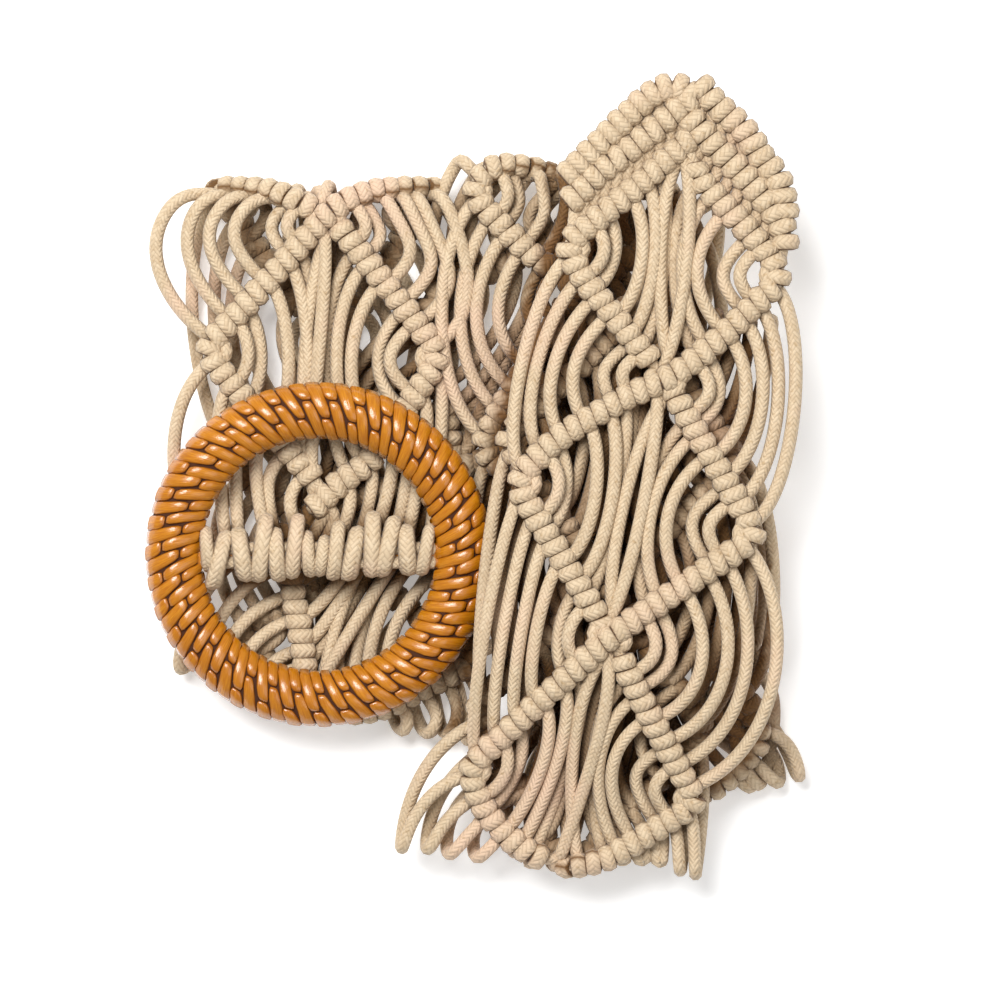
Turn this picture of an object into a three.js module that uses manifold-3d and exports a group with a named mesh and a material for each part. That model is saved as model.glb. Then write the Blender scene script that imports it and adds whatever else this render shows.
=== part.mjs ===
// A macrame belt folded into a flat bundle: seven stretches of knotted net and a plaited ring buckle.
// Millimetres. X runs across the bundle, Y from the bar of the buckle towards the top, Z up.
import * as THREE from "three";
import Module from "manifold-3d";
import { mergeVertices } from "three/addons/utils/BufferGeometryUtils.js";

const wasm = await Module();
wasm.setup();

// Buckle: a moulded ring with a plaited face and a flat bar across its hole.
const BUCKLE_DIAMETER = 82;
const BUCKLE_BAND_WIDTH = 13;
const BUCKLE_THICKNESS = 8;
const PLAIT_REPEATS = 34;
const PLAIT_RELIEF = 0.7;
const PLAIT_SLANT = 0.9;
const PLAIT_SIDES = 8;
const BAR_WIDTH = 6;
const BAR_THICKNESS = 3;
const BAR_CORNER = 1.2;

// Cord and knots.
const CORD_DIAMETER = 3.4;
const HITCH_COUNT = 7;
const HITCH_SIDES = 8;
const ROW_WIDTH = 6.2;
const ROW_THICKNESS = 5.2;
const ROW_TOP_SHARE = 0.55;
const ROW_OFFSET = 2.8;

// Net.
const BELT_WIDTH = 55;
const SIDE_BULGE = 3.5;
const GAP_WIDTH = 2.6;
const SHORTEST_GAP = 5;
const BAR_END_WIDTH = 49;
const TAPER_LENGTH = 26;
const TIP_ROWS = 3;
const TIP_PITCH = 8;

// Bundle.
const FOLDED_LENGTH = 192;
const LAYER_CLEARANCE = 0.4;
const PIECE_CLEARANCE = 0.3;
const PILE_CLEARANCE = 0.6;
const STRETCH_CLEARANCE = 1;
const BEND_STEP = THREE.MathUtils.degToRad(46);
const ROUTE_STEP = 0.5;

const LAYER_PITCH = ROW_THICKNESS + LAYER_CLEARANCE;
const HALF_WIDTH = BELT_WIDTH / 2;
const RING_RADIUS = (BUCKLE_DIAMETER - BUCKLE_BAND_WIDTH) / 2;
const HOLE_RADIUS = BUCKLE_DIAMETER / 2 - BUCKLE_BAND_WIDTH;

// The height of the middle of a layer, counted from 0 for the one that lies on the table.
const layerHeight = (level) => ROW_THICKNESS / 2 + level * LAYER_PITCH;

// The buckle lies on the third layer at its far side and on the second one at its near side.
const BUCKLE_TILT = Math.asin(LAYER_PITCH / (2 * RING_RADIUS));
const BUCKLE_HEIGHT =
  (layerHeight(1) + layerHeight(2) + ROW_THICKNESS + BUCKLE_THICKNESS + PLAIT_RELIEF) / 2 +
  PILE_CLEARANCE;

// The right-hand pile clears the buckle and the left-hand pile.
const LEFT_FOLD = 0.036 * BELT_WIDTH;
const RIGHT_PILE = BUCKLE_DIAMETER / 2 + PILE_CLEARANCE + HALF_WIDTH + SIDE_BULGE;
const RETURN_FOLD = LEFT_FOLD + BELT_WIDTH + 2 * SIDE_BULGE + PILE_CLEARANCE;
const BAND_START = BAR_WIDTH / 2 + CORD_DIAMETER + 2 * PIECE_CLEARANCE;
const START_HEIGHT = BUCKLE_HEIGHT - (BAR_THICKNESS + CORD_DIAMETER) / 2;

// The centre line in plan. lean is the angle in degrees of the line across the belt. A fold turns the belt over.
// level is the layer that the belt arrives on, and next the one that it leaves a fold on.
// along holds shares of the bundle's length, and settles the shares of a stretch between which its level changes.
const ROUTE = [
  { across: 0, along: 0, start: BAND_START, lean: 0, heading: 1, height: START_HEIGHT },
  { across: LEFT_FOLD, along: 0.43, lean: 0, heading: 1, level: 2, next: 0, settles: [0, 0.1] },
  { across: 0.076 * BELT_WIDTH, along: -0.181, lean: -14, heading: -1, level: 0, next: 1 },
  { across: RETURN_FOLD, along: 0.457, lean: -9, heading: 1, level: 1, next: 2 },
  { across: RIGHT_PILE + 0.2 * BELT_WIDTH, along: -0.292, lean: 8, heading: -1, level: 0, next: 1, settles: [0.62, 0.98] },
  { across: RIGHT_PILE + 0.04 * BELT_WIDTH, along: 0.29, lean: -4, heading: 1, level: 3, next: 4, settles: [0, 0.42] },
  { across: RIGHT_PILE - 0.2 * BELT_WIDTH, along: -0.373, lean: -5, heading: -1, level: 1.7, next: 2.7, settles: [0.52, 1] },
  { across: RIGHT_PILE + 0.295 * BELT_WIDTH, along: 0.598, lean: -6, heading: 1, level: 5, settles: [0, 0.28] },
];

// Where the diagonal knot rows meet, as shares of each stretch between two folds. The rows meet at the belt's
// edges at edge and cross at its middle at cross. fine nets have five lines of gaps and the others three.
const STRETCHES = [
  { name: "band_1_buckle_end", fine: true, rows: [{ cross: 0.113 }, { edge: 0.547, cross: 0.97 }] },
  {
    name: "band_2_lowest",
    fine: false,
    rows: [{ edge: 0.144, cross: 0.457 }, { edge: 0.771 }],
  },
  {
    name: "band_3_diagonal",
    fine: false,
    rows: [{ cross: 0.03 }, { edge: 0.236, cross: 0.451 }, { edge: 0.666, cross: 0.88 }],
  },
  {
    name: "band_4_under_return",
    fine: false,
    rows: [{ edge: 0.03, cross: 0.23 }, { edge: 0.43, cross: 0.63 }, { edge: 0.83 }],
  },
  {
    name: "band_5_inner",
    fine: false,
    rows: [{ cross: 0 }, { edge: 0.26, cross: 0.53 }, { edge: 0.8 }],
  },
  {
    name: "band_6_inner_return",
    fine: false,
    rows: [{ cross: 0.03 }, { edge: 0.27, cross: 0.51 }, { edge: 0.75, cross: 0.99 }],
  },
  {
    name: "band_7_front",
    fine: true,
    rows: [{ edge: 0.084, cross: 0.283 }, { edge: 0.447, cross: 0.602 }, { edge: 0.752 }],
  },
];
const TIP_SLOPE = 0.9 * HALF_WIDTH;

// Colours and finishes.
const RESIN = { color: 0xc9741a, roughness: 0.25, metalness: 0 };
const COTTON = { color: 0xc4a980, roughness: 0.85, metalness: 0 };

const belt = new THREE.Group();

function addMesh(parent, name, geometry, finish) {
  const mesh = new THREE.Mesh(geometry, new THREE.MeshStandardMaterial(finish));
  mesh.name = name;
  parent.add(mesh);
  return mesh;
}

function geometryOf(points, triangles) {
  const geometry = new THREE.BufferGeometry();
  geometry.setAttribute("position", new THREE.Float32BufferAttribute(points.flat(), 3));
  geometry.setIndex(triangles.flat());
  return geometry;
}

// A closed skin over a grid that joins up with itself both ways.
function ringSkin(around, across, pointAt) {
  const points = [];
  const triangles = [];
  for (let i = 0; i < around; i++)
    for (let j = 0; j < across; j++) {
      points.push(pointAt(i, j));
      const a = i * across + j;
      const b = ((i + 1) % around) * across + j;
      const c = ((i + 1) % around) * across + ((j + 1) % across);
      const d = i * across + ((j + 1) % across);
      triangles.push([a, b, c], [a, c, d]);
    }
  return geometryOf(points, triangles);
}

function solidOf(geometry) {
  const bare = geometry.clone();
  bare.deleteAttribute("normal");
  bare.deleteAttribute("uv");
  const merged = mergeVertices(bare);
  return new wasm.Manifold(
    new wasm.Mesh({
      numProp: 3,
      vertProperties: merged.attributes.position.array,
      triVerts: new Uint32Array(merged.index.array),
    }),
  );
}

function geometryOfSolid(solid) {
  const mesh = solid.getMesh();
  const geometry = new THREE.BufferGeometry();
  geometry.setAttribute("position", new THREE.BufferAttribute(mesh.vertProperties, 3));
  geometry.setIndex(new THREE.BufferAttribute(mesh.triVerts, 1));
  return geometry;
}

// The ring's wraps stand up from it in pairs of long and short strands that swap ends from one wrap to the next.
function buckleRing() {
  const lines = PLAIT_REPEATS * 4;
  return ringSkin(lines, PLAIT_SIDES, (i, j) => {
    const section = (j / PLAIT_SIDES) * 2 * Math.PI;
    const onCrest = i % 2 === 1;
    const longOutside = i % 4 === 1;
    const atJoint = longOutside ? Math.cos(section) < -0.2 && Math.cos(section) > -0.6
      : Math.cos(section) > 0.2 && Math.cos(section) < 0.6;
    const relief = onCrest && !atJoint ? PLAIT_RELIEF / 2 : -PLAIT_RELIEF / 2;
    const out = (BUCKLE_BAND_WIDTH - PLAIT_RELIEF) / 2 + relief;
    const up = (BUCKLE_THICKNESS - PLAIT_RELIEF) / 2 + relief;
    const radius = RING_RADIUS + out * Math.cos(section);
    const turn = ((i + PLAIT_SLANT * Math.cos(section)) / lines) * 2 * Math.PI;
    return [radius * Math.cos(turn), radius * Math.sin(turn), up * Math.sin(section)];
  });
}

function buckleBar() {
  const halfWidth = BAR_WIDTH / 2;
  const halfThickness = BAR_THICKNESS / 2;
  const outline = new THREE.Shape([
    new THREE.Vector2(-halfThickness, BAR_CORNER - halfWidth),
    new THREE.Vector2(BAR_CORNER - halfThickness, -halfWidth),
    new THREE.Vector2(halfThickness - BAR_CORNER, -halfWidth),
    new THREE.Vector2(halfThickness, BAR_CORNER - halfWidth),
    new THREE.Vector2(halfThickness, halfWidth - BAR_CORNER),
    new THREE.Vector2(halfThickness - BAR_CORNER, halfWidth),
    new THREE.Vector2(BAR_CORNER - halfThickness, halfWidth),
    new THREE.Vector2(-halfThickness, halfWidth - BAR_CORNER),
  ]);
  const length = 2 * RING_RADIUS;
  const bar = new THREE.ExtrudeGeometry(outline, { depth: length, bevelEnabled: false });
  return bar.translate(0, 0, -length / 2).rotateY(Math.PI / 2);
}

// One folded cord's lark's head: two turns side by side round the bar.
function larksHead(pitch) {
  const width = pitch - PIECE_CLEARANCE;
  const cord = CORD_DIAMETER;
  const profile = [
    { along: 0.5, out: 0.25 },
    { along: 0.5, out: 0 },
    { along: -0.5, out: 0 },
    { along: -0.5, out: 0.25 },
    { along: -0.33, out: 1 },
    { along: -0.17, out: 1 },
    { along: 0, out: 0.55 },
    { along: 0.17, out: 1 },
    { along: 0.33, out: 1 },
  ];
  return ringSkin(HITCH_SIDES, profile.length, (i, j) => {
    const angle = ((i + 0.5) / HITCH_SIDES) * 2 * Math.PI;
    const reach = cord * profile[j].out + PIECE_CLEARANCE;
    const corner = 1 / Math.cos(Math.PI / HITCH_SIDES);
    const snug = Math.SQRT2 * corner;
    const inside = Math.max(0, 1 - profile[j].out * 2);
    const fit = 1 + (snug - 1) * inside;
    return [
      profile[j].along * width,
      (BAR_WIDTH / 2 + reach) * Math.cos(angle) * fit,
      (BAR_THICKNESS / 2 + reach) * Math.sin(angle) * fit,
    ];
  });
}

const smooth = (share) => THREE.MathUtils.smoothstep(share, 0, 1);

// The belt's frames along its route: where its centre line is, and the directions across it and out of its face.
function traceRoute() {
  const frames = [];
  const folds = [];
  let length = 0;
  const add = (point, forward, side) => {
    if (frames.length) length += point.distanceTo(frames.at(-1).point);
    const face = side.clone().cross(forward).normalize();
    frames.push({ at: length, point, side: side.clone(), face, forward: forward.clone() });
  };
  for (let k = 1; k < ROUTE.length; k++) {
    const from = ROUTE[k - 1];
    const to = ROUTE[k];
    const begin = new THREE.Vector2(from.across, from.along * FOLDED_LENGTH + (from.start ?? 0));
    const end = new THREE.Vector2(to.across, to.along * FOLDED_LENGTH);
    const headingOf = (lean) => {
      const angle = THREE.MathUtils.degToRad(lean);
      return new THREE.Vector2(-Math.sin(angle), Math.cos(angle)).multiplyScalar(to.heading);
    };
    const chord = begin.distanceTo(end);
    const leave = headingOf(from.lean).multiplyScalar(chord);
    const arrive = headingOf(to.lean).multiplyScalar(chord);
    const low = from.height ?? layerHeight(from.next ?? from.level);
    const high = layerHeight(to.level);
    const [settleFrom, settleTo] = to.settles ?? [0, 1];
    const plan = (u) => {
      const [u2, u3] = [u * u, u * u * u];
      return new THREE.Vector2()
        .addScaledVector(begin, 2 * u3 - 3 * u2 + 1)
        .addScaledVector(leave, u3 - 2 * u2 + u)
        .addScaledVector(end, 3 * u2 - 2 * u3)
        .addScaledVector(arrive, u3 - u2);
    };
    const spot = (u) => {
      const flat = plan(u);
      const rise = smooth((u - settleFrom) / (settleTo - settleFrom));
      return new THREE.Vector3(flat.x, flat.y, low + (high - low) * rise);
    };
    const steps = Math.ceil(chord / ROUTE_STEP);
    for (let i = frames.length ? 1 : 0; i <= steps; i++) {
      const u = i / steps;
      const ahead = spot(Math.min(1, u + 1 / steps));
      const forward = ahead.sub(spot(Math.max(0, u - 1 / steps))).normalize();
      const side = new THREE.Vector3(forward.y, -forward.x, 0).normalize().multiplyScalar(to.heading);
      add(spot(u), forward, side);
    }
    if (to.next === undefined) continue;
    folds.push({ from: length });
    const base = frames.at(-1);
    const radius = (layerHeight(to.next) - high) / 2;
    const turns = Math.ceil((Math.PI * Math.abs(radius)) / ROUTE_STEP);
    for (let i = 1; i <= turns; i++) {
      const angle = (i / turns) * Math.PI;
      const point = base.point
        .clone()
        .addScaledVector(base.forward, Math.abs(radius) * Math.sin(angle))
        .add(new THREE.Vector3(0, 0, radius * (1 - Math.cos(angle))));
      const forward = base.forward
        .clone()
        .multiplyScalar(Math.cos(angle))
        .add(new THREE.Vector3(0, 0, Math.sign(radius) * Math.sin(angle)));
      add(point, forward, base.side);
    }
    folds.at(-1).to = length;
  }
  return { frames, folds, length };
}

const route = traceRoute();

// The point of the net at a length along it, a distance across it and a height above its middle.
function netPoint(along, across, height) {
  const { frames } = route;
  let low = 0;
  let high = frames.length - 1;
  while (high - low > 1) {
    const middle = (low + high) >> 1;
    if (frames[middle].at <= along) low = middle;
    else high = middle;
  }
  const [a, b] = [frames[low], frames[high]];
  const share = THREE.MathUtils.clamp((along - a.at) / (b.at - a.at || 1), 0, 1);
  const side = a.side.clone().lerp(b.side, share).normalize();
  const face = a.face.clone().lerp(b.face, share).normalize();
  return a.point
    .clone()
    .lerp(b.point, share)
    .addScaledVector(side, across)
    .addScaledVector(face, height);
}

// The angle that the net turns through between two lengths along it.
function bendBetween(from, to) {
  let bend = 0;
  for (const fold of route.folds) {
    const overlap = Math.min(to, fold.to) - Math.max(from, fold.from);
    if (overlap > 0) bend += (overlap / (fold.to - fold.from)) * Math.PI;
  }
  return bend;
}

// The knot rows in order along the belt, each from its middle to its two edges.
function knotRows() {
  const starts = [0, ...route.folds.map((fold) => fold.to)];
  const ends = [...route.folds.map((fold) => fold.from), route.length];
  const rows = [];
  let edge = null;
  let cross = null;
  STRETCHES.forEach((stretch, k) => {
    const place = (share) => starts[k] + share * (ends[k] - starts[k]);
    for (const row of stretch.rows) {
      if (row.edge !== undefined) {
        edge = place(row.edge);
        rows.push({ stretch: k, middle: cross + ROW_OFFSET, edge: edge - ROW_OFFSET });
      }
      if (row.cross !== undefined) {
        cross = place(row.cross);
        if (edge !== null) rows.push({ stretch: k, middle: cross - ROW_OFFSET, edge: edge + ROW_OFFSET });
      }
    }
  });
  for (let n = 0; n < TIP_ROWS; n++) {
    const end = edge + ROW_OFFSET + n * TIP_PITCH;
    rows.push({ stretch: STRETCHES.length - 1, middle: end + TIP_SLOPE, edge: end });
  }
  return rows;
}

// The lines of vertices across the net, one list of lengths along the belt for each line of columns.
function netLines(columns) {
  const rows = knotRows();
  const least = 0.4;
  const lines = [{ along: columns.map(() => 0), height: CORD_DIAMETER / 2, region: "start", stretch: 0 }];
  const centreOf = (row, t) => row.middle + (row.edge - row.middle) * Math.min(1, Math.abs(t) / HALF_WIDTH);
  const reachOf = (row) => (ROW_WIDTH / 2) * Math.hypot(1, (row.edge - row.middle) / HALF_WIDTH);
  rows.forEach((row, i) => {
    const before = rows[i - 1];
    const after = rows[i + 1];
    const reach = reachOf(row);
    const spans = columns.map((t) => {
      const centre = centreOf(row, t);
      const back = before ? (centre - centreOf(before, t) - least) / 2 : centre / 2;
      const forth = after ? (centreOf(after, t) - centre - least) / 2 : reach;
      return { centre, back: Math.min(reach, back), forth: Math.min(reach, forth) };
    });
    const line = (share, height, region) => ({
      along: spans.map((s) => s.centre + share * (share < 0 ? s.back : s.forth)),
      height,
      region,
      stretch: row.stretch,
    });
    const previous = lines.at(-1);
    const foot = line(-1, CORD_DIAMETER / 2, "row");
    lines.push({
      along: foot.along.map((s, j) => (s + previous.along[j]) / 2),
      height: CORD_DIAMETER / 2,
      region: "open",
      stretch: row.stretch,
    });
    previous.region = "open";
    lines.push(
      foot,
      line(-ROW_TOP_SHARE, ROW_THICKNESS / 2, "row"),
      line(ROW_TOP_SHARE, ROW_THICKNESS / 2, "row"),
      line(1, CORD_DIAMETER / 2, "open"),
    );
  });
  return lines;
}

// The columns across the net. A gap column is open between the knot rows.
function netColumns(fine) {
  const centres = fine ? [-0.66, -0.33, 0, 0.33, 0.66] : [-0.47, 0, 0.47];
  const edges = centres.flatMap((share) => [
    share * HALF_WIDTH - GAP_WIDTH / 2,
    share * HALF_WIDTH + GAP_WIDTH / 2,
  ]);
  return [-HALF_WIDTH, ...edges, HALF_WIDTH];
}

// One closed solid of net between two of its lines, with its gaps cut through.
function netSolid(columns, lines) {
  const dense = [];
  lines.forEach((line, i) => {
    dense.push(line);
    const next = lines[i + 1];
    if (!next) return;
    const bend = Math.max(...columns.map((_, j) => bendBetween(line.along[j], next.along[j])));
    const parts = Math.ceil(bend / BEND_STEP);
    for (let p = 1; p < parts; p++) {
      const share = p / parts;
      dense.push({
        along: line.along.map((s, j) => s + (next.along[j] - s) * share),
        height: line.height + (next.height - line.height) * share,
        bulge: line.bulge.map((b, j) => b + (next.bulge[j] - b) * share),
        region: line.region,
        gap: line.gap,
      });
    }
  });
  const cells = columns.length - 1;
  const points = [];
  const addPoint = (line, j, share, sign) => {
    const mix = (values) => (share ? values[j] + (values[j + 1] - values[j]) * share : values[j]);
    const along = mix(line.along);
    const taper = Math.min(1, along / TAPER_LENGTH);
    const narrow = 1 + (1 - taper) * (BAR_END_WIDTH / BELT_WIDTH - 1);
    const p = netPoint(along, mix(columns) * narrow + mix(line.bulge), sign * line.height);
    return points.push([p.x, p.y, p.z]) - 1;
  };
  const strips = dense.map((line) =>
    [1, -1].map((sign) => {
      const strip = [];
      let corner = addPoint(line, 0, 0, sign);
      for (let j = 0; j < cells; j++) {
        const ends = [line.along[j], line.along[j + 1]];
        const parts = Math.ceil(bendBetween(Math.min(...ends), Math.max(...ends)) / BEND_STEP) || 1;
        const cell = [corner];
        for (let p = 1; p < parts; p++) cell.push(addPoint(line, j, p / parts, sign));
        corner = addPoint(line, j + 1, 0, sign);
        strip.push([...cell, corner]);
      }
      return strip;
    }),
  );
  const solidAt = (i, j) => i >= 0 && i < dense.length - 1 && j >= 0 && j < cells && !dense[i].gap?.[j];
  const triangles = [];
  const quad = (a, b, c, d) => triangles.push([a, b, c], [a, c, d]);
  const zip = (near, far, flip) => {
    let [a, b] = [0, 0];
    while (a < near.length - 1 || b < far.length - 1) {
      const nearFirst = (a + 1) * (far.length - 1) <= (b + 1) * (near.length - 1);
      const takeNear = b === far.length - 1 || (a < near.length - 1 && nearFirst);
      const triangle = takeNear ? [near[a], near[++a], far[b]] : [near[a], far[b + 1], far[b++]];
      triangles.push(flip ? triangle.reverse() : triangle);
    }
  };
  const wall = (upper, lower) => {
    for (let a = 0; a < upper.length - 1; a++) quad(upper[a], upper[a + 1], lower[a + 1], lower[a]);
  };
  for (let i = 0; i < dense.length - 1; i++)
    for (let j = 0; j < cells; j++) {
      if (!solidAt(i, j)) continue;
      const [near, far] = [strips[i], strips[i + 1]];
      zip(near[0][j], far[0][j], false);
      zip(near[1][j], far[1][j], true);
      if (!solidAt(i, j - 1)) quad(near[0][j][0], far[0][j][0], far[1][j][0], near[1][j][0]);
      if (!solidAt(i, j + 1))
        quad(near[0][j].at(-1), near[1][j].at(-1), far[1][j].at(-1), far[0][j].at(-1));
      if (!solidAt(i - 1, j)) wall(near[1][j], near[0][j]);
      if (!solidAt(i + 1, j)) wall(far[0][j], far[1][j]);
    }
  const used = [...new Set(triangles.flat())].sort((a, b) => a - b);
  const renumbered = new Map(used.map((old, now) => [old, now]));
  return geometryOf(
    used.map((old) => points[old]),
    triangles.map((triangle) => triangle.map((old) => renumbered.get(old))),
  );
}

// Adds the gaps and the side loops' bulge to the lines of one stretch of net.
function dressLines(columns, lines) {
  const last = columns.length - 1;
  return lines.map((line, i) => {
    const next = lines[i + 1];
    const before = lines[i - 1];
    const isMiddle = line.region === "open" && before?.region === "open";
    const sideLoop = isMiddle && before && next && next.along[0] - before.along[0] > ROW_WIDTH;
    const bulge = columns.map((_, j) => (j === 0 ? -1 : j === last ? 1 : 0) * (sideLoop ? SIDE_BULGE : 0));
    let gap = null;
    if (line.region === "open" && next) {
      const from = isMiddle ? before : line;
      const to = isMiddle ? next : lines[i + 2];
      gap = columns.slice(1).map((_, j) => {
        const reach = to ? Math.min(to.along[j] - from.along[j], to.along[j + 1] - from.along[j + 1]) : 0;
        return j % 2 === 1 && reach > SHORTEST_GAP;
      });
    }
    return { ...line, bulge, gap };
  });
}

function shifted(line, distance) {
  return { ...line, along: line.along.map((s) => s + distance) };
}

// The stretches of net, each up to the first knot row that lies wholly past the fold at its end.
function addNet() {
  STRETCHES.forEach((stretch, k) => {
    const columns = netColumns(stretch.fine);
    const lines = netLines(columns);
    const pastFold = (n) => {
      const flat = route.folds[n - 1].to + ROW_WIDTH / 2;
      return lines.findIndex((line) => line.region === "row" && Math.min(...line.along) > flat);
    };
    const first = k === 0 ? 0 : pastFold(k);
    const end = k === STRETCHES.length - 1 ? lines.length : pastFold(k + 1) + 1;
    const own = lines.slice(first, end);
    const dressed = dressLines(columns, own);
    dressed[0] = shifted(dressed[0], STRETCH_CLEARANCE / 2);
    dressed[dressed.length - 1] = shifted(dressed.at(-1), -STRETCH_CLEARANCE / 2);
    addMesh(belt, stretch.name, netSolid(columns, dressed), COTTON);
  });
}

function addBuckle() {
  const buckle = new THREE.Group();
  const whole = solidOf(buckleRing()).add(solidOf(buckleBar()));
  addMesh(buckle, "buckle", geometryOfSolid(whole), RESIN);
  const pitch = (2 * HOLE_RADIUS - 2 * PIECE_CLEARANCE) / HITCH_COUNT;
  for (let n = 0; n < HITCH_COUNT; n++) {
    const head = addMesh(buckle, `larks_head_${n + 1}`, larksHead(pitch), COTTON);
    head.position.x = (n - (HITCH_COUNT - 1) / 2) * pitch;
  }
  buckle.rotation.x = BUCKLE_TILT;
  buckle.position.z = BUCKLE_HEIGHT;
  belt.add(buckle);
}

addBuckle();
addNet();

// The origin is under the middle of the bundle, on the table.
const box = new THREE.Box3().setFromObject(belt, true);
belt.position.set(-(box.min.x + box.max.x) / 2, -(box.min.y + box.max.y) / 2, -box.min.z);

export default belt;
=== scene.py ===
# %% [markdown]
# # A knotted cord belt with a ring buckle, folded into a flat bundle
# The belt is a net of waxed cotton braid. Its strands run between diagonal rows of knots, and each knot
# is two turns of a strand round a carrying cord. At one end seven cords are looped on the bar of a
# plaited resin ring, and at the other end three chevrons of knots make a pointed tip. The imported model
# gives the room that every stretch takes, so the strands and knots are laid along the same folded route
# and each stretch of them stands for one solid.

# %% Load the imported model
import math
import random

import bpy
import numpy as np
from mathutils import Matrix, Vector


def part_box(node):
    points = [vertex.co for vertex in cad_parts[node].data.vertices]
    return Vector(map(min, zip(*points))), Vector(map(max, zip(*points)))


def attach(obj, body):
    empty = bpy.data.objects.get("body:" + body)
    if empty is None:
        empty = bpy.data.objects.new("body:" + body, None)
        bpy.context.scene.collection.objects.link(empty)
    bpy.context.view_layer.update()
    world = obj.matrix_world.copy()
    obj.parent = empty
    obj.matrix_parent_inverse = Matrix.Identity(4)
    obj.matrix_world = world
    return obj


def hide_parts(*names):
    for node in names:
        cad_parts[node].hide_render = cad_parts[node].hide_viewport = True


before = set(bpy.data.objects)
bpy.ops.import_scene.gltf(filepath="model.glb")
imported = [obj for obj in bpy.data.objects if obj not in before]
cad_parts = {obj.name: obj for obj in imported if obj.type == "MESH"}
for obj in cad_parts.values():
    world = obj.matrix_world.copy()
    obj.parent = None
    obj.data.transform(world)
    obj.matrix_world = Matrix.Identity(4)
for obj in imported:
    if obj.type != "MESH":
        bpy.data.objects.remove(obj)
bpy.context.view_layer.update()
MM = 0.001
print("packed nodes:", len(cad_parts))

# %% [markdown]
# ## The folded route
# The belt goes up from the bar, and is folded six times, each stretch on top of or below the one before.
# A real belt could be draped by simulation, but every knot would then have to be found again, so the
# route is written down as it lies: a smooth line in plan between the folds, a height for each layer, and
# a half circle at each fold. A point of the belt is then given by its distance along, its distance across
# and its height off the middle of the cords.

# %% Sizes and places of the folds, in millimetres from the middle of the bar
CORD_DIAMETER = 3.4
ROW_THICKNESS = 5.2
LAYER_PITCH = 5.6
BELT_WIDTH = 55
HALF_WIDTH = BELT_WIDTH / 2
SIDE_STRANDS = 3.5
PILE_CLEARANCE = 0.6
FOLDED_LENGTH = 192
BAND_START = 7.0
RING_DIAMETER = 82
RING_RADIUS = 34.5
BAR_LENGTH, BAR_WIDTH, BAR_THICKNESS = 61, 6, 3

RIGHT_PILE = RING_DIAMETER / 2 + PILE_CLEARANCE + HALF_WIDTH + SIDE_STRANDS
LEFT_FOLD = 0.036 * BELT_WIDTH
RETURN_FOLD = LEFT_FOLD + BELT_WIDTH + (2 * SIDE_STRANDS + PILE_CLEARANCE)

low_corner, high_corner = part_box("buckle")
BAR_CENTRE = np.array([(a + b) / 2 / MM for a, b in zip(low_corner, high_corner)])
START_HEIGHT = BAR_CENTRE[2] - (BAR_THICKNESS + CORD_DIAMETER) / 2


def at_level(level):
    """The height of the middle of a layer, counted from 0 for the one on the table."""
    return ROW_THICKNESS / 2 + level * LAYER_PITCH


# Each line across the belt has its x and y, its lean in degrees, the way the belt comes to it (1 is up the
# page), the heights at which the belt comes and leaves, and the shares of the stretch before it between
# which the height settles.
FOLD_LINES = [
    (0, BAND_START, 0, 1, None, START_HEIGHT, 0, 1),
    (LEFT_FOLD, 0.43 * FOLDED_LENGTH, 0, 1, at_level(2), at_level(0), 0, 0.1),
    (0.076 * BELT_WIDTH, -0.181 * FOLDED_LENGTH, -14, -1, at_level(0), at_level(1), 0, 1),
    (RETURN_FOLD, 0.457 * FOLDED_LENGTH, -9, 1, at_level(1), at_level(2), 0, 1),
    (RIGHT_PILE + 0.2 * BELT_WIDTH, -0.292 * FOLDED_LENGTH, 8, -1, at_level(0), at_level(1), 0.62, 0.98),
    (RIGHT_PILE + 0.04 * BELT_WIDTH, 0.29 * FOLDED_LENGTH, -4, 1, at_level(3), at_level(4), 0, 0.42),
    (RIGHT_PILE - 0.2 * BELT_WIDTH, -0.373 * FOLDED_LENGTH, -5, -1, at_level(1.7), at_level(2.7), 0.52, 1),
    (RIGHT_PILE + 0.295 * BELT_WIDTH, 0.598 * FOLDED_LENGTH, -6, 1, at_level(5), None, 0, 0.28),
]
print("bar centre, mm:", BAR_CENTRE.round(2))


# %% Walk along the route and keep a frame every half millimetre
ROUTE_STEP = 0.5


def unit(v):
    return v / (np.linalg.norm(v, axis=-1, keepdims=True) + 1e-12)


def walked_along(line):
    """The distance walked at each point of a line."""
    return np.concatenate([[0], np.cumsum(np.linalg.norm(np.diff(line, axis=0), axis=1))])


def settle(u, start, end):
    """Eases from 0 to 1 between two shares."""
    u = np.clip((u - start) / (end - start), 0, 1)
    return u * u * (3 - 2 * u)


def heading(lean, way, reach):
    turn = math.radians(lean)
    return np.array([-math.sin(turn), math.cos(turn)]) * way * reach


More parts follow.
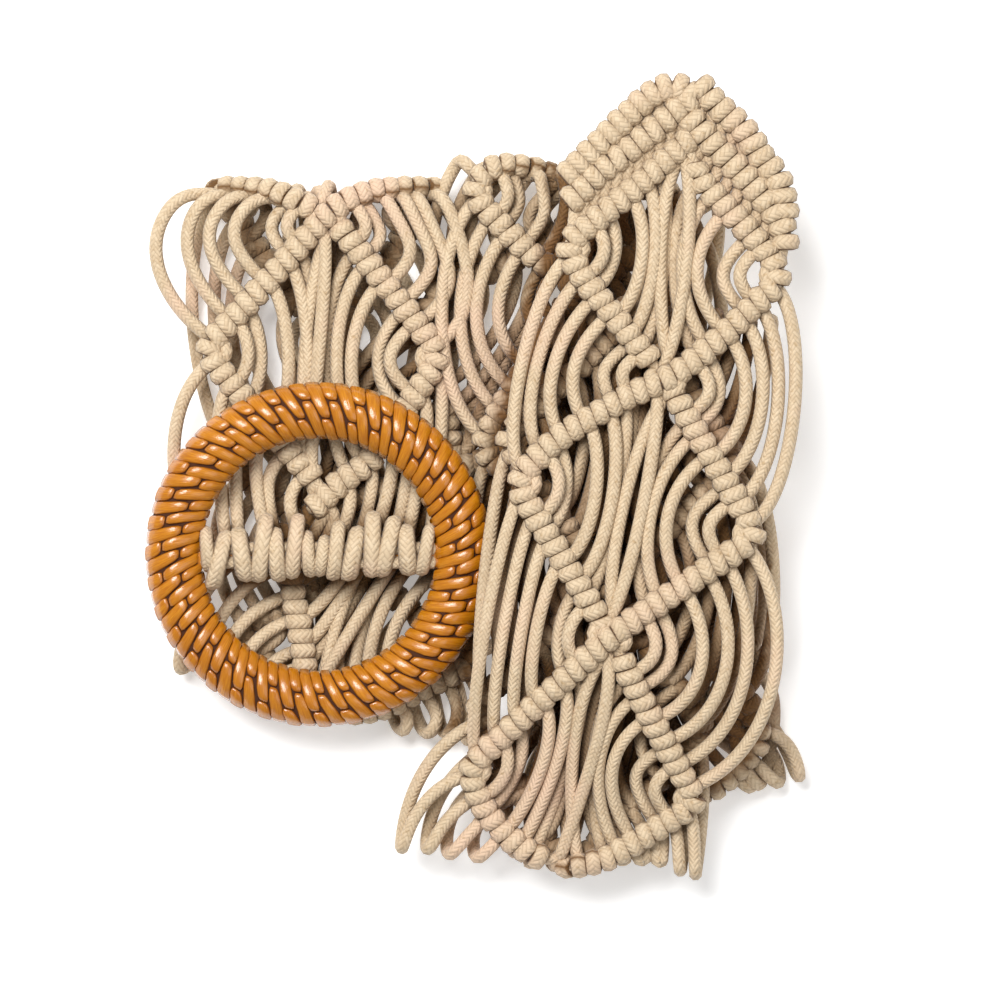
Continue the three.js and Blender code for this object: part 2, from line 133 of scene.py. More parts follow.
def trace_route(lines):
    """The belt's middle points, its ways along and across, and where each stretch starts and ends."""
    places, ways, sides, starts, ends = [], [], [], [0.0], []

    def walked():
        return float(np.linalg.norm(np.diff(np.array(places), axis=0), axis=1).sum())

    for a, b in zip(lines, lines[1:]):
        chord = math.dist(a[:2], b[:2])
        leave, arrive = heading(a[2], b[3], chord), heading(b[2], b[3], chord)
        u = np.linspace(0, 1, math.ceil(chord / ROUTE_STEP) + 1)[:, None]
        plan = (
            np.array(a[:2]) * (2 * u**3 - 3 * u**2 + 1)
            + leave * (u**3 - 2 * u**2 + u)
            + np.array(b[:2]) * (3 * u**2 - 2 * u**3)
            + arrive * (u**3 - u**2)
        )
        height = a[5] + (b[4] - a[5]) * settle(u, b[6], b[7])
        line = np.hstack([plan, height])
        way = unit(np.gradient(line, axis=0))
        side = unit(np.stack([way[:, 1] * b[3], -way[:, 0] * b[3], 0 * way[:, 0]], axis=1))
        skip = 1 if places else 0
        places += list(line[skip:])
        ways += list(way[skip:])
        sides += list(side[skip:])
        ends.append(walked())
        if b[5] is None:
            break
        radius = (b[5] - b[4]) / 2
        turns = math.ceil(math.pi * abs(radius) / ROUTE_STEP)
        base, forward, across = places[-1], ways[-1], sides[-1]
        for i in range(1, turns + 1):
            angle = math.pi * i / turns
            rise = np.array([0, 0, radius * (1 - math.cos(angle))])
            places.append(base + forward * abs(radius) * math.sin(angle) + rise)
            ways.append(forward * math.cos(angle) + np.array([0, 0, math.copysign(math.sin(angle), radius)]))
            sides.append(across)
        starts.append(walked())
    return np.array(places), np.array(ways), np.array(sides), starts, ends


ROUTE, WAYS, SIDES, STARTS, ENDS = trace_route(FOLD_LINES)
FACES_UP = unit(np.cross(SIDES, WAYS))
WALKED = walked_along(ROUTE)
ORIGIN = np.array([BAR_CENTRE[0], BAR_CENTRE[1], 0])
print("stretch lengths, mm:", [round(b - a, 1) for a, b in zip(STARTS, ENDS)])


# %% A point of the belt from its distance along, across and off the middle
BACK_FOLDS = (STARTS[3], STARTS[5])
BACK_BEFORE, BACK_AFTER, BACK_EASE = 25, 72, 5


def between(table, s):
    """Values of a table kept along the route, at distances walked."""
    return np.stack([np.interp(s, WALKED, table[:, i]) for i in range(3)], axis=-1)


def side_out(s):
    """1 where the face of the belt shows, and -1 round the two folds that show its back."""
    out = np.ones_like(s, dtype=float)
    for fold in BACK_FOLDS:
        begin, stop = (s - fold + BACK_BEFORE) / BACK_EASE, (s - fold - BACK_AFTER) / BACK_EASE
        out -= np.tanh(begin) - np.tanh(stop)
    return out


def on_belt(s, t, h=0.0):
    """Places from distances along, across and off the middle. Before its start the belt runs on straight."""
    s, t, h = np.broadcast_arrays(*map(np.atleast_1d, (s, t, h)))
    h = h * side_out(s)
    across, up = unit(between(SIDES, s)), unit(between(FACES_UP, s))
    spot = between(ROUTE, s) + across * t[:, None] + up * h[:, None]
    before = np.minimum(s, 0)[:, None] * WAYS[0]
    return spot + before + ORIGIN


def stretch_of(s):
    """The stretch, from 1 to 7, that a distance along the belt is in. A fold is shared by two."""
    for k in range(6):
        if s < (ENDS[k] + STARTS[k + 1]) / 2:
            return k + 1
    return 7


# %% [markdown]
# ## Where the knot rows meet
# Two carrying cords zigzag from edge to edge and cross on the middle line, so every diamond of the net is
# bounded by four rows. Each line below gives one crossing and the two edge turns after it, as distances
# along a stretch and across the belt. The ones that can be seen are placed as they lie, pulled a little
# out of true, and the hidden ones keep the same beat. A points list could be read off a flat pattern
# instead, but a real net is never that even.

# %% Crossings, left turns and right turns of the net
# Each place is a stretch, a distance along it and a distance across.
TURNS = [
    ((1, 3.5, -1.9), (1, 41, -28.8), (1, 42, 28.2)),
    ((1, 75, 0), (1, 86, -28), (1, 86, 27.5)),
    ((2, 33, 0), (2, 60, -28), (2, 60, 28)),
    ((2, 86, 0), (2, 104, -28), (2, 104, 28)),
    ((3, -3.5, -6.7), (3, 31, -27), (3, 22, 28.5)),
    ((3, 62, 0), (3, 95, -28), (3, 95, 28)),
    ((3, 133, 1), (4, 4, -28.2), (4, 4, 28)),
    ((4, 24.5, 0), (4, 58, -28), (4, 58, 28)),
    ((4, 90, 0), (4, 120, -28), (4, 120, 28)),
    ((5, -4, -4), (5, 22, -27), (5, 18, 22.5)),
    ((5, 52, 0), (5, 83, -28), (5, 83, 28)),
    ((6, -2, 0), (6, 31, -28), (6, 31, 28)),
    ((6, 63, 0), (6, 96, -28), (6, 96, 28)),
    ((7, -3, -1.6), (7, 18, -28), (7, 16, 27.5)),
    ((7, 55, 1.4), (7, 87.2, -26.8), (7, 84.2, 32)),
    ((7, 116.9, 4.4), (7, 144.5, -24.4), (7, 145, 28.2)),
    ((7, 173.4, 0.6), None, None),
]


def place_of(turn):
    """A place as distances along and across the whole belt."""
    return np.array([STARTS[turn[0] - 1] + turn[1], turn[2]])


# Places that a row passes on its way to an edge turn (first list) and away from it (second list).
BENDS = {
    (0, "left"): ([(1, 8.5, 1.5), (1, 12, -2), (1, 17.2, -7)], []),
    (0, "right"): ([(1, 10.8, 4.9), (1, 15.5, 11.9)], []),
    (1, "left"): ([(1, 78, -8), (1, 82, -14), (1, 84, -21)], []),
    (1, "right"): ([(1, 79, 6), (1, 82, 12.4), (1, 84, 19)], []),
    (4, "left"): ([(3, 2.8, -8.3), (3, 11, -12.5)], []),
    (4, "right"): ([(3, -4, 2.2), (3, 1.5, 12.8)], []),
    (6, "left"): ([(4, -5.8, -10.8), (4, -4.2, -18), (4, -1, -24.5)], [(4, 9.8, -20.6), (4, 15.8, -13)]),
    (9, "right"): ([(5, -4, 4.6), (5, -0.5, 13.8), (5, 7.8, 24)], []),
    (13, "left"): ([(7, -1.5, -9.4), (7, 2.2, -16.1), (7, 8.2, -22.8)], []),
    (13, "right"): ([(7, -1, 6.6), (7, 3.8, 12.8), (7, 9.8, 20.2)], []),
    (14, "left"): ([], [(7, 98.5, -19.4), (7, 105.5, -11.4), (7, 112.2, -3.4)]),
    (15, "left"): ([(7, 128.2, -8.4), (7, 133, -13.8), (7, 137.8, -19.1)],
                   [(7, 150, -20), (7, 156, -14.5), (7, 161, -9.7), (7, 166.8, -5.1)]),
    (15, "right"): ([(7, 121.8, 9.5), (7, 130.8, 17), (7, 136, 20.7), (7, 141, 24.5)],
                    [(7, 147.5, 25.8), (7, 151.5, 21.9), (7, 159.8, 11.5), (7, 164, 5.4)]),
}
print("crossings:", len(TURNS))

# %% [markdown]
# ## Rows as smooth lines
# A row is drawn as straight runs between its points, cut every millimetre, and then each point is moved a
# little towards its neighbours a few times. That rounds the turns at the edges as a stiff cord would, and
# leaves the straight runs alone. A bezier curve would do as well, but would bulge between far points.


# %% Smooth a line of points
def smooth_line(points, rounds=12):
    """A line cut every millimetre and rounded at its corners."""
    cut = [points[0]]
    for a, b in zip(points, points[1:]):
        count = max(1, round(float(np.linalg.norm(b - a))))
        cut += [a + (b - a) * i / count for i in range(1, count + 1)]
    line = np.array(cut)
    for _ in range(rounds):
        line[1:-1] = line[:-2] * 0.25 + line[1:-1] * 0.5 + line[2:] * 0.25
    return line


# %% Trace the two carrying cords, and cut each into its rows
OTHER_SIDE = {"left": "right", "right": "left"}
CARRIERS = []
for first_side in ("left", "right"):
    stops, marks = [], []
    for i, turn in enumerate(TURNS[:-1]):
        side = first_side if i % 2 == 0 else OTHER_SIDE[first_side]
        edge = turn[1 if side == "left" else 2]
        before, after = BENDS.get((i, side), ([], []))
        marks.append({"turn": i, "side": side, "cross": place_of(turn[0]), "edge": place_of(edge)})
        stops += [place_of(p) for p in (turn[0], *before, edge, *after)]
    stops.append(place_of(TURNS[-1][0]))
    line = smooth_line(stops)
    for mark in marks:
        for key in ("cross", "edge"):
            mark[key] = int(np.argmin(np.linalg.norm(line - mark[key], axis=1)))
    CARRIERS.append({"line": line, "marks": marks})

ROWS = {}
for carrier in CARRIERS:
    ends = [mark["cross"] for mark in carrier["marks"][1:]] + [len(carrier["line"]) - 1]
    for mark, end in zip(carrier["marks"], ends):
        line = carrier["line"][mark["cross"]:end + 1]
        ROWS[mark["turn"], mark["side"]] = {"line": line, "corner": mark["edge"] - mark["cross"]}
print("rows from crossing to crossing:", len(ROWS))

# %% [markdown]
# ## One turn of cord
# Every knot shows as two turns of cord round the carrying cord, lying side by side like beads. A turn is
# a ring of cord with no hole, pressed a little flat, so it is modelled once from a torus and then copied
# along the rows. The copy is done by moving its points as a whole, so hundreds of turns stay one light
# mesh to a stretch.


# %% Helpers for modelling by hand
def clear_selection():
    if bpy.context.object and bpy.context.object.mode != "OBJECT":
        bpy.ops.object.mode_set(mode="OBJECT")
    bpy.ops.object.select_all(action="DESELECT")


def take_pattern(obj):
    """Reads a modelled shape as points, faces and pattern coordinates, in millimetres, and removes it."""
    mesh = obj.data
    points = np.array([obj.matrix_world @ v.co for v in mesh.vertices]) / MM
    faces = [tuple(p.vertices) for p in mesh.polygons]
    uv = np.zeros(len(mesh.loops) * 2)
    mesh.uv_layers[0].data.foreach_get("uv", uv)
    bpy.data.objects.remove(obj)
    return points, faces, uv.reshape(-1, 2)


def build_piece(name, parts, pile=None):
    """Joins parts into one smooth object at the origin.

    Each part has its points in millimetres, its faces, its pattern coordinates and its painted shade.
    Nothing reaches below the table, and a pile adds painted shade by how deep each point lies in it.
    """
    points, faces, uvs, painted_shade, count = [], [], [], [], 0
    for p, f, uv, shade_amount in parts:
        points.append(p)
        faces += [tuple(i + count for i in face) for face in f]
        uvs.append(uv)
        painted_shade.append(np.broadcast_to(shade_amount, len(p)))
        count += len(p)
    points, painted_shade = np.vstack(points), np.concatenate(painted_shade)
    points[:, 2] = np.maximum(points[:, 2], 0.0)
    if pile:
        painted_shade = 1 - (1 - painted_shade) * (1 - pile(points))
    mesh = bpy.data.meshes.new(name)
    mesh.from_pydata((points * MM).tolist(), [], faces)
    layer = mesh.uv_layers.new(name="cord_length")
    layer.data.foreach_set("uv", np.vstack(uvs).ravel())
    mesh.attributes.new("painted_shade", "FLOAT", "POINT").data.foreach_set("value", painted_shade)
    mesh.polygons.foreach_set("use_smooth", [True] * len(mesh.polygons))
    mesh.update()
    obj = bpy.data.objects.new(name, mesh)
    bpy.context.scene.collection.objects.link(obj)
    return obj


# %% A closed ring of cord from a torus
def cord_ring(reach, cord, steps, squash=1.0):
    """A ring of cord round the x axis, pressed flat by the share squash, as points, faces and coordinates."""
    clear_selection()
    bpy.ops.mesh.primitive_torus_add(
        major_segments=steps,
        minor_segments=8,
        major_radius=reach * MM,
        minor_radius=cord * MM,
        generate_uvs=True,
    )
    bpy.ops.object.mode_set(mode="EDIT")
    bpy.ops.mesh.select_all(action="SELECT")
    bpy.ops.transform.rotate(value=math.pi / 2, orient_axis="Y", center_override=(0, 0, 0))
    bpy.ops.transform.resize(value=(1.0, 1.0, squash), center_override=(0, 0, 0))
    bpy.ops.object.mode_set(mode="OBJECT")
    return take_pattern(bpy.context.object)


# %% Model one turn of cord
TURN_REACH, TURN_CORD = 1.72, 1.74
TURN_HALF_WIDTH, TURN_HALF_LENGTH = 1.96, 3.38
TURN_CORD_LENGTH = 17.0


def filled_out(values, half, new_half, power):
    """Swells the sides of a round shape and gives it a new half size."""
    return np.sign(values) * new_half * (np.abs(values) / half) ** power


TURN_POINTS, TURN_FACES, TURN_UV = cord_ring(TURN_REACH, TURN_CORD, 12, squash=0.88)
TURN_POINTS[:, 0] = filled_out(TURN_POINTS[:, 0], TURN_CORD, TURN_HALF_WIDTH, 0.62)
TURN_POINTS[:, 1] = filled_out(TURN_POINTS[:, 1], TURN_REACH + TURN_CORD, TURN_HALF_LENGTH, 0.9)
# Painted shade on a turn: some at its foot and most at its flanks, which paints the dark crease between
# turns.
flanks = (np.abs(TURN_POINTS[:, 0]) - 1.48) / 0.3
foot = 1.0 - 0.9 * np.abs(TURN_POINTS[:, 2])
TURN_PAINTED_SHADE = np.clip(np.maximum(flanks, foot), 0, 1.6)
TURN_UV = TURN_UV * np.array([TURN_CORD_LENGTH, 1.0])
print("one turn:", len(TURN_FACES), "faces,", np.ptp(TURN_POINTS, axis=0).round(2), "mm")


# %% [markdown]
# ## Laying the turns on the rows
# A carrying cord runs inside each row. The turns are set on it so close that their sides press together,
# each leaning a few degrees as the knots pull it. Where two rows cross, the one from the left goes over
# without a break and the other dips under it, so its turns stop a little short of the crossing.


# %% Set turns of cord along a line on the belt
TURN_PITCH = 3.55
LEAN_SPREAD = 5
dice = random.Random(11)
KNOTS = {k: [] for k in range(1, 8)}
STRANDS = {k: [] for k in range(1, 8)}


def shifted(uv):
    """Starts the braid at a place of its own, so that no two turns look alike."""
    return uv + np.array([dice.uniform(0, 20), dice.random()])


def row_frames(line, heights, spans, lean=8.0, wide=1.0):
    """Places for turns of cord along a line, evenly inside each span of millimetres along it."""
    spots = on_belt(line[:, 0], line[:, 1], heights)
    run = walked_along(spots)
    out = []
    for start, end in spans:
        count = max(1, round((end - start) / TURN_PITCH))
        at = start + (end - start) * (np.arange(count) + 0.5) / count
        centres, ahead, behind = (
            np.stack([np.interp(at + d, run, spots[:, i]) for i in range(3)], axis=1)
            for d in (0, 0.8, -0.8)
        )
        s = np.interp(at, run, line[:, 0])
        along = unit(ahead - behind)
        up = unit(between(FACES_UP, s))
        up = unit(up - along * (up * along).sum(axis=1, keepdims=True))
        across = np.cross(up, along)
        for c, a, b, u, q in zip(centres, along, across, up, s):
            angle = -math.radians(lean + dice.uniform(-LEAN_SPREAD, LEAN_SPREAD)) * (1 if u[2] > 0 else -1)
            a2 = a * math.cos(angle) + b * math.sin(angle)
            b2 = b * math.cos(angle) - a * math.sin(angle)
            broad, tall = dice.uniform(0.96, 1.05), dice.uniform(0.95, 1.0)
            out.append((q, c, np.stack([a2, b2 * wide * broad, u * tall])))
    return out


def add_row(line, heights, spans, **how):
    for s, centre, axes in row_frames(line, heights, spans, **how):
        turn = TURN_POINTS @ axes + centre, TURN_FACES, shifted(TURN_UV), TURN_PAINTED_SHADE
        KNOTS[stretch_of(s)].append(turn)


# %% A strand as a round tube along points
STRAND_RADIUS, STRAND_SIDES = 1.62, 8
CARRIER_RADIUS, CARRIER_SIDES = 1.5, 6
LOWEST_MIDDLE = 1.75


def tube(points, radius=STRAND_RADIUS, sides=STRAND_SIDES):
    """A closed tube whose pattern coordinates hold millimetres along it and turns round it."""
    way = unit(np.gradient(points, axis=0))
    normal = np.cross(way[0], (0, 0, 1.0))
    if np.linalg.norm(normal) < 0.1:
        normal = np.cross(way[0], (0, 1.0, 0))
    normal = unit(normal)
    rings = []
    angles = np.linspace(0, 2 * math.pi, sides, endpoint=False)
    for p, w in zip(points, way):
        normal = unit(normal - w * float(normal @ w))
        other = np.cross(w, normal)
        rings.append(p + radius * (np.cos(angles)[:, None] * normal + np.sin(angles)[:, None] * other))
    spots = np.vstack([*rings, points[:1] - way[0] * radius * 0.5, points[-1:] + way[-1] * radius * 0.5])
    run = walked_along(points) + dice.uniform(0, 30)
    turn0 = dice.random()
    faces, uv = [], []
    last = len(points) - 1
    for i in range(last):
        for j in range(sides):
            k = (j + 1) % sides
            faces.append((i * sides + j, i * sides + k, (i + 1) * sides + k, (i + 1) * sides + j))
            v0, v1 = turn0 + j / sides, turn0 + (j + 1) / sides
            uv += [(run[i], v0), (run[i], v1), (run[i + 1], v1), (run[i + 1], v0)]
    foot, head = len(points) * sides, len(points) * sides + 1
    for j in range(sides):
        k = (j + 1) % sides
        faces.append((foot, k, j))
        faces.append((head, last * sides + j, last * sides + k))
        uv += [(run[0], turn0)] * 3 + [(run[-1], turn0)] * 3
    return spots, faces, np.array(uv), 0.0


def add_strand(line, heights):
    spots = on_belt(line[:, 0], line[:, 1], heights)
    spots[:, 2] = np.maximum(spots[:, 2], LOWEST_MIDDLE)
    middle = float(line[len(line) // 2, 0])
    STRANDS[stretch_of(middle)].append(tube(spots))


# %% Lay the carrying cords and their turns
UNDER_GAP = 3.5
OVER_RISE, UNDER_DIP, CROSSING_REACH = 0.5, -1.3, 4.5
FIRST_TURN = {"left": 8.6, "right": 0.0}


def add_carrier(line, heights, length=40):
    """Lays a carrying cord in lengths, each with the stretch that it is in."""
    for first in range(0, len(line) - 1, length):
        part = slice(first, min(first + length + 1, len(line)))
        spots = on_belt(line[part, 0], line[part, 1], heights[part])
        spots = spots[::2] if len(spots) > 6 else spots
        KNOTS[stretch_of(float(line[part, 0].mean()))].append(tube(spots, CARRIER_RADIUS, CARRIER_SIDES))


for carrier in CARRIERS:
    line, marks = carrier["line"], carrier["marks"]
    run = walked_along(on_belt(line[:, 0], line[:, 1]))
    heights = np.zeros(len(line))
    spans, start = [], FIRST_TURN[marks[0]["side"]]
    for before, mark in zip(marks, marks[1:]):
        over = before["side"] == "left"
        at = run[mark["cross"]]
        heights += (OVER_RISE if over else UNDER_DIP) * np.exp(-(((run - at) / CROSSING_REACH) ** 2))
        if not over:
            spans.append((start, at - UNDER_GAP))
            start = at + UNDER_GAP
    spans.append((start, run[-1] - (0.3 if marks[-1]["side"] == "left" else UNDER_GAP)))
    add_row(line, heights, spans)
    add_carrier(line, heights)
print("turns and lengths of carrying cord:", sum(len(k) for k in KNOTS.values()))

# %% [markdown]
# ## Strands between the rows
# Seven strands leave each row, and every one goes to the same place on the next row. Inside a diamond
# they nest round the edge turn and bow towards the middle. At the belt's edge they nest round the
# crossing and bow outwards, and the outermost lie in long arcs. Each strand is a bezier arc on the belt's
# own surface, so it follows the folds. A curve object with a round bevel would give the same tube, but
# its pattern coordinates wouldn't be in millimetres.

# %% Bow a strand between two rows
STRANDS_PER_ROW = 7
LAST_STRAND = STRANDS_PER_ROW - 1
TUCKED = -2


def bowed(start, end, bulge, leave, arrive):
    """A bezier line that sets out along leave and comes in against arrive, as far off the chord as bulge."""
    chord = end - start
    length = float(np.linalg.norm(chord)) + 1e-6
    across = np.array([-chord[1], chord[0]]) / length
    lean = max(0.3, (abs(float(leave @ across)) + abs(float(arrive @ across))) / 2)
    reach = min(max(bulge / (0.75 * lean), 0.08 * length), 0.6 * length)
    first, second = start + leave * reach, end + arrive * reach
    count = max(7, math.ceil((length + 2 * bulge) / 2.1))
    u = np.linspace(0, 1, count)[:, None]
    return start * (1 - u) ** 3 + 3 * first * u * (1 - u) ** 2 + 3 * second * u**2 * (1 - u) + end * u**3


def spot_on(line, run, at):
    return np.array([np.interp(at, run, line[:, 0]), np.interp(at, run, line[:, 1])])


def square_to(arm, run, at, towards):
    """The direction square to a row at a place on it, on the side that towards points to."""
    way = unit(spot_on(arm, run, at + 1.5) - spot_on(arm, run, at - 1.5))
    aside = np.array([-way[1], way[0]])
    return aside * (1 if aside @ towards > 0 else -1)


def rise(count, middle, ends=-2.0):
    """Heights of a strand that comes out from under one row and goes in under the next."""
    bump = np.sin(math.pi * np.linspace(0, 1, count)) ** 0.7
    return ends + (middle - ends) * bump


def nest(arm_a, arm_b, bulges, sink, swing=0.0):
    """Strands between two rows that meet at a pivot.

    Each arm is listed from the pivot outwards. sink has the height of each strand's middle, and a strand
    tucked under its neighbours also starts further in. swing turns the outer strands' ends across the belt.
    """
    run_a, run_b = walked_along(arm_a), walked_along(arm_b)
    for n in range(len(sink)):
        share = (n + (0.55 if sink[n] > TUCKED else 0.2)) / STRANDS_PER_ROW
        at_a, at_b = (share * run[-1] + dice.uniform(-0.4, 0.4) for run in (run_a, run_b))
        start, end = spot_on(arm_a, run_a, at_a), spot_on(arm_b, run_b, at_b)
        leave = square_to(arm_a, run_a, at_a, end - start)
        arrive = square_to(arm_b, run_b, at_b, start - end)
        arrive = unit(arrive + np.array([0, swing * n / LAST_STRAND]))
        line = bowed(start, end, bulges[n] + dice.uniform(-0.5, 0.5), leave, arrive)
        add_strand(line, rise(len(line), sink[n] + dice.uniform(-0.2, 0.2)))


# %% Lay the strands inside the diamonds
DIAMOND_BULGE = np.array([3.4, 4.8, 4.8, 5.2, 5.2, 4.6, 4.2])
DIAMOND_SINK = [0.2, 0.7, -2.4, 1.0, 0.4, -2.4]
# The left half's last strand lies over the right half's, and bows less.
LAST_SINK = {"left": 1.2, "right": -0.3}
BULGE_SHARE = {"left": 0.85, "right": 1.35}
for (_, side), row in ROWS.items():
    line, corner = row["line"], row["corner"]
    sink = [*DIAMOND_SINK, LAST_SINK[side]]
    nest(line[: corner + 1][::-1], line[corner:], DIAMOND_BULGE * BULGE_SHARE[side], sink)
print("strands so far:", sum(len(k) for k in STRANDS.values()))

# %% Lay the strands that bow out at the edges
SIDE_BULGE = np.array([3.2, 4.4, 4.6, 6.2, 6.8, 6.8, 8.0])
SIDE_SINK = [0.4, 0.8, -2.2, 0.6, 0.2, -0.9, -0.5]
# How much further or less the outermost strand bows round some crossings.
SIDE_REACH = {
    (1, "left"): 1.88,
    (4, "left"): 1.7,
    (9, "left"): 1.8,
    (9, "right"): 1.5,
    (11, "left"): 0.2,
    (12, "left"): 0.35,
    (13, "left"): 2.0,
    (13, "right"): 0.45,
    (14, "left"): 0.05,
    (14, "right"): 1.75,
    (15, "left"): 0.8,
}
# At the bottom fold's right most strands are tucked in, and at the hidden fold's left there are only four.
OTHER_SINKS = {(13, "right"): [0.4, -2.7, -2.7, -2.7, -2.7, -0.9, -0.5], (11, "left"): SIDE_SINK[:4]}
SIDE_SWING = {(1, "left"): -2.2}
for side in ("left", "right"):
    for i in range(1, len(TURNS) - 1):
        first, second = ROWS[i - 1, side], ROWS[i, side]
        arm_a, arm_b = first["line"][first["corner"]:][::-1], second["line"][: second["corner"] + 1]
        outermost = SIDE_REACH.get((i, side), 1.0)
        reach = np.interp(np.arange(STRANDS_PER_ROW), [0, LAST_STRAND], [1, outermost])
        sink = OTHER_SINKS.get((i, side), SIDE_SINK)
        nest(arm_a, arm_b, SIDE_BULGE * reach, sink, SIDE_SWING.get((i, side), 0.0))
print("strands in all:", sum(len(k) for k in STRANDS.values()))

# %% [markdown]
# ## The pointed tip
# Three chevrons of knots, one against the other, close the belt. The strands between them are only a few
# millimetres long and hardly show. The rows on the left run straight up to the point, and those on the
# right curve down past the edge of the net, so each chevron is two lines of turns laid on the belt's
# surface.

# %% Lay the two upper chevrons and the short strands between the three
SHORT_STRANDS = 11
TIP_STRETCH = 7
CHEVRONS = [
    ([(156, -24.3), (163.2, -19.3), (168.8, -13.5), (174.8, -7.8), (180.2, -3.1), (183, -0.2)],
     [(178.5, 1.3), (174.5, 5.9), (168.2, 14), (161, 22.4), (156.5, 26.2), (153, 27.2)]),
    ([(162, -25.9), (169.8, -20.1), (176.5, -15), (183.8, -9), (186.2, -4.6), (186.6, -2.4), (184.6, 0)],
     [(186.5, 2.6), (182, 7.6), (178.2, 13.6), (171.5, 19), (167.8, 23.4), (160, 26.1)]),
]


def tip_line(points):
    return smooth_line([place_of((TIP_STRETCH, s, t)) for s, t in points], 6)


last_left, last_right = ROWS[15, "left"], ROWS[15, "right"]
tip_rows = [(last_left["line"][last_left["corner"]:], last_right["line"][last_right["corner"]:][::-1])]
for left_points, right_points in CHEVRONS:
    left_line, right_line = tip_line(left_points), tip_line(right_points)
    for line in (left_line, right_line):
        flat = np.zeros(len(line))
        span = (-TURN_PITCH / 2, walked_along(line)[-1] + TURN_PITCH / 2)
        add_row(line, flat, [span], lean=4.0, wide=1.07)
        add_carrier(line, flat)
    tip_rows.append((left_line, right_line))
for (left_a, right_a), (left_b, right_b) in zip(tip_rows, tip_rows[1:]):
    for a, b in ((left_a, left_b), (right_a, right_b)):
        run_a, run_b = walked_along(a), walked_along(b)
        for n in range(SHORT_STRANDS):
            share = (n + 0.5) / SHORT_STRANDS
            start, end = spot_on(a, run_a, share * run_a[-1]), spot_on(b, run_b, share * run_b[-1])
            line = bowed(start, end, 0.3, unit(end - start), unit(start - end))
            add_strand(line, rise(len(line), -0.9))
print("with the tip's:", sum(len(k) for k in KNOTS.values()))

# %% [markdown]
# ## Loops on the bar
# Each cord is folded in half over the bar, so the front of the bar shows two turns of cord for every
# cord. They were never pulled quite tight, so they stand taller than the bar and lean this way and that.
# One loop is modelled from a torus and stretched to each place as it lies. The strands come out behind
# the bar and run up to the first knot rows, and two lengths of cord lie along the bar under the loops,
# where the loops leave gaps.

# %% Model one loop round the bar
LOOP_REACH, LOOP_CORD = 3.3, 1.7
LOOP_HALF_HEIGHT = 3.15
LOOP_CORD_LENGTH = 31.0
LOOP_POINTS, LOOP_FACES, LOOP_UV = cord_ring(LOOP_REACH, LOOP_CORD, 20)
LOOP_UV = LOOP_UV * np.array([LOOP_CORD_LENGTH, 1.0])
# Painted shade down the sides of the loop, where it presses against its neighbours.
LOOP_PAINTED_SHADE = np.clip((np.abs(LOOP_POINTS[:, 0]) - 1.1) / 0.6, 0, 1) * 0.8
print("one loop:", len(LOOP_FACES), "faces")

# %% Set the fourteen loops on the bar
BUCKLE_TILT = math.asin(LAYER_PITCH / (2 * RING_RADIUS))
TILT = np.array(Matrix.Rotation(BUCKLE_TILT, 3, "X"))
TALLER, LOWER = 1.08, 1.12
NARROWEST, WIDEST = 1.0, 1.3
# Each loop has its middle across the belt, its upper end, its lower end and how far it leans to the right.
LOOPS = [
    (-26.4, 6.6, -4.0, -1.0), (-23.6, 5.6, -7.6, 3.6), (-18.2, 6.3, -5.9, -2.0), (-13.4, 9.3, -6.0, 2.2),
    (-9.9, 6.3, -5.9, -0.8), (-5.6, 9.3, -5.3, 1.8), (-2.3, 5.6, -4.9, -0.8), (0.9, 4.6, -4.8, 1.4),
    (4.2, 7.7, -5.6, 1.6), (8.3, 6.6, -5.7, 2.6), (12.9, 9.9, -5.0, 0.4), (16.6, 8.9, -4.9, 3.4),
    (21.2, 7.0, -4.6, -0.8), (25.6, 7.0, -4.6, 2.2),
]


def on_buckle(points):
    """Turns points from the buckle's own flat to where it lies, tilted on the belt."""
    return points @ TILT.T + BAR_CENTRE


def stretch_loop(top, bottom, x, lean, fat):
    """Pulls the round loop to its height and width, with the cord still round, and leans it."""
    half, middle = (top - bottom) / 2, (top + bottom) / 2
    spots = LOOP_POINTS.copy()
    ring = spots[:, 1:].copy()
    radial = np.hypot(ring[:, 0], ring[:, 1])[:, None] + 1e-9
    cord = ring * (1 - LOOP_REACH / radial)
    spots[:, 1:] = ring / radial * np.array([half - LOOP_CORD, LOOP_HALF_HEIGHT]) + cord
    spots[:, 0] = spots[:, 0] * (fat - 0.08 * spots[:, 1] / half) + x + lean * (spots[:, 1] / (2 * half))
    spots[:, 1] += middle
    return on_buckle(spots)


loop_parts = []
for i, (x, top, bottom, lean) in enumerate(LOOPS):
    before, after = LOOPS[max(i - 1, 0)][0], LOOPS[min(i + 1, len(LOOPS) - 1)][0]
    fat = min(WIDEST, max(NARROWEST, (after - before) / 2 / LOOP_REACH))
    spots = stretch_loop(top * TALLER, bottom * LOWER, x, lean, fat)
    loop_parts.append((spots, LOOP_FACES, shifted(LOOP_UV), LOOP_PAINTED_SHADE))
print("loops:", len(loop_parts))

